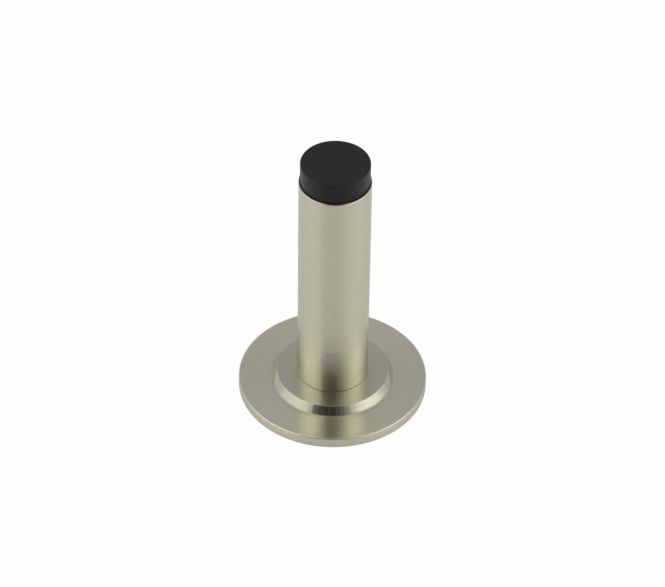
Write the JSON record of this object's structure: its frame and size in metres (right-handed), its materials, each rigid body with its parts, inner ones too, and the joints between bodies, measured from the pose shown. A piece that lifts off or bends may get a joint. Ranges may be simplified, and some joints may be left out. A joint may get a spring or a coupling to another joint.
{
  "type": "wall door stop",
  "caption": "Wall door stop: round post on a stepped round rose with a bevelled step, black rubber buffer at the end, concealed screw plate and stud behind the rose.",
  "frame": {"origin": "middle of the wall face, at the back of the rose, on the post's axis", "axes": "+Z out of the wall along the post towards the buffer; +X through one of the wall screw holes"},
  "size_m": [0.05, 0.05, 0.076],
  "materials": {
    "satin_nickel": "brass with satin nickel plating, brushed round the axis, the step's bevel polished",
    "black_rubber": "moulded, matt",
    "zinc_plated_steel": "turned, bright zinc plated"
  },
  "bodies": {
    "root": {"rose": "satin_nickel", "post": "satin_nickel", "buffer": "black_rubber", "mounting_plate": "zinc_plated_steel", "stud": "zinc_plated_steel"}
  },
  "joints": []
}
